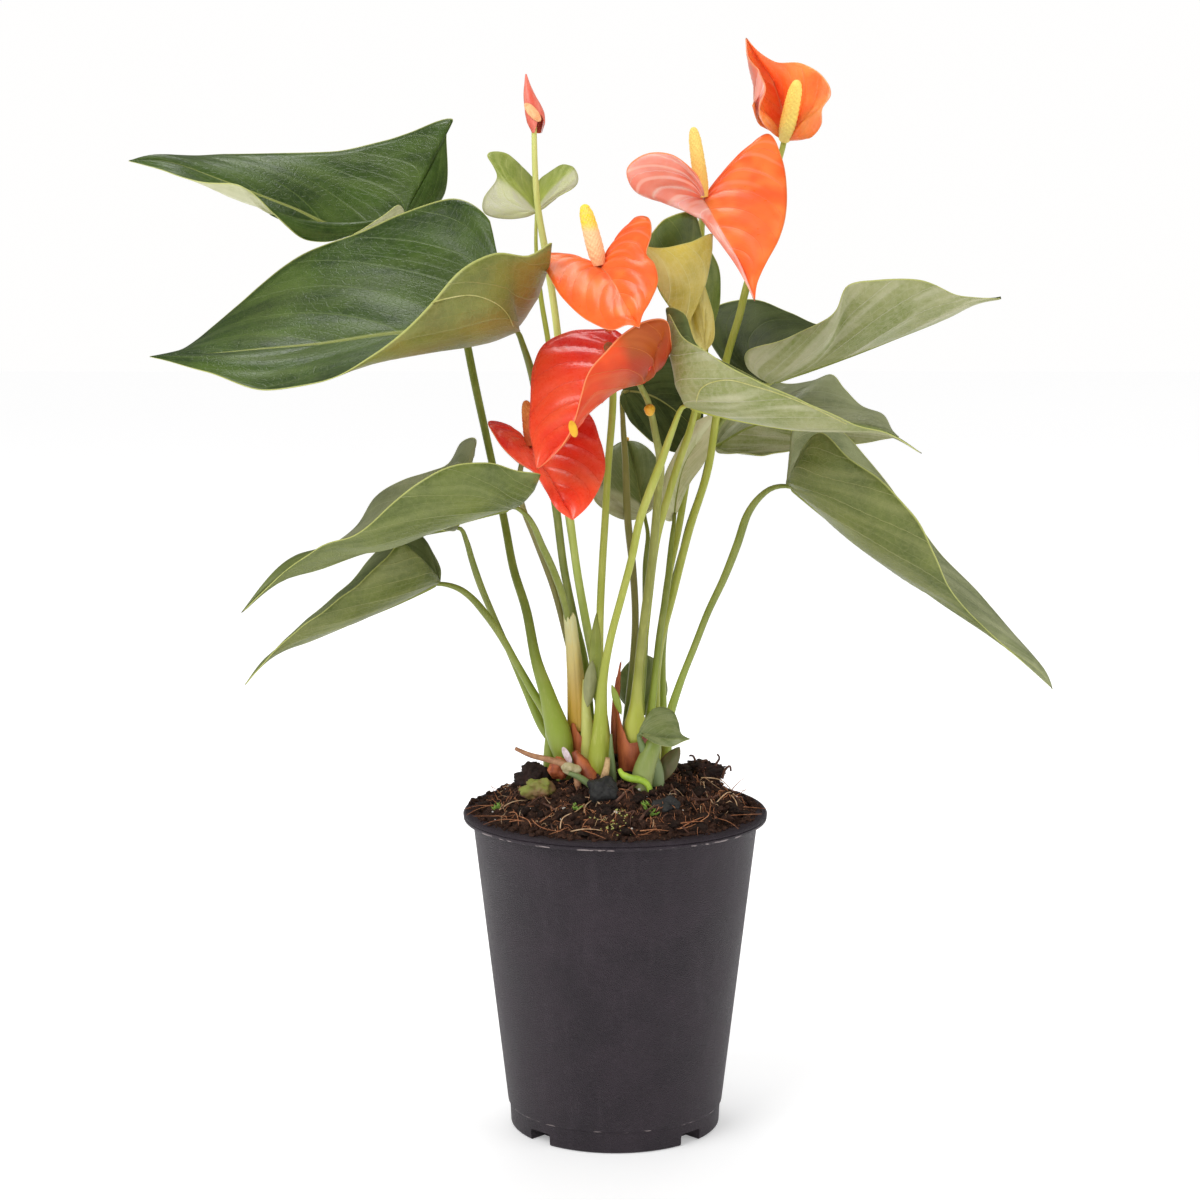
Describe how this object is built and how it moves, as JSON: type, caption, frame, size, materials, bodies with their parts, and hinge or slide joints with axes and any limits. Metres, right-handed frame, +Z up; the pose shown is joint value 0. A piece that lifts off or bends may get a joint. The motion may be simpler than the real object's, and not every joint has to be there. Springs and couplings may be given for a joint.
{
  "type": "potted anthurium plant",
  "caption": "Flowering anthurium in a round plastic grower's pot: long-stemmed heart-shaped leaves and waxy orange and red blooms rising from a mound of peat.",
  "frame": {"origin": "centre of the pot's foot, on the table it stands on", "axes": "+Z up along the pot's axis, +X to the viewer's right, +Y away from the viewer"},
  "size_m": [0.3612, 0.1669, 0.4272],
  "materials": {
    "pot": "satin, fine leather grain",
    "peat": "rough, moist peat with fibres",
    "stone": "rough",
    "bark": "rough",
    "root": "dry, matte",
    "sheath_tan": "papery",
    "sheath_brown": "papery",
    "leaf": "leathery, satin above, paler below",
    "stem": "smooth, satin",
    "spathe_orange": "waxy gloss",
    "spathe_red": "waxy gloss",
    "spadix_yellow": "fine beaded",
    "spadix_brown": "fine beaded"
  },
  "bodies": {
    "root": {"bark_dark": "bark", "bark_olive": "bark", "bloom_centre_spadix": "spadix_yellow", "bloom_centre_spathe": "spathe_orange", "bloom_centre_stalk": "stem", "bloom_low_red_spadix": "spadix_brown", "bloom_low_red_spathe": "spathe_red", "bloom_low_red_stalk": "stem", "bloom_top_spadix": "spadix_yellow", "bloom_top_spathe": "spathe_orange", "bloom_top_stalk": "stem", "bloom_upper_orange_spadix": "spadix_yellow", "bloom_upper_orange_spathe": "spathe_orange", "bloom_upper_orange_stalk": "stem", "bloom_upper_red_spadix": "spadix_yellow", "bloom_upper_red_spathe": "spathe_red", "bloom_upper_red_stalk": "stem", "bud_spathe": "spathe_red", "bud_stalk": "stem", "leaf_back_left": "leaf", "leaf_big_left": "leaf", "leaf_centre": "leaf", "leaf_crown": "leaf", "leaf_crown_back": "leaf", "leaf_far_right": "leaf", "leaf_front_left": "leaf", "leaf_front_right": "leaf", "leaf_low_left": "leaf", "leaf_low_right": "leaf", "leaf_mid_left": "leaf", "leaf_mid_right": "leaf", "leaf_narrow": "leaf", "leaf_round": "leaf", "leaf_small_back": "leaf", "leaf_upright": "leaf", "pot": "pot", "root_left": "root", "sheath_brown_centre": "sheath_brown", "sheath_brown_left": "sheath_brown", "sheath_brown_tip": "sheath_brown", "sheath_tan": "sheath_tan", "shoot_curved": "stem", "shoot_upright": "stem", "soil": "peat", "stone": "stone"}
  },
  "joints": []
}
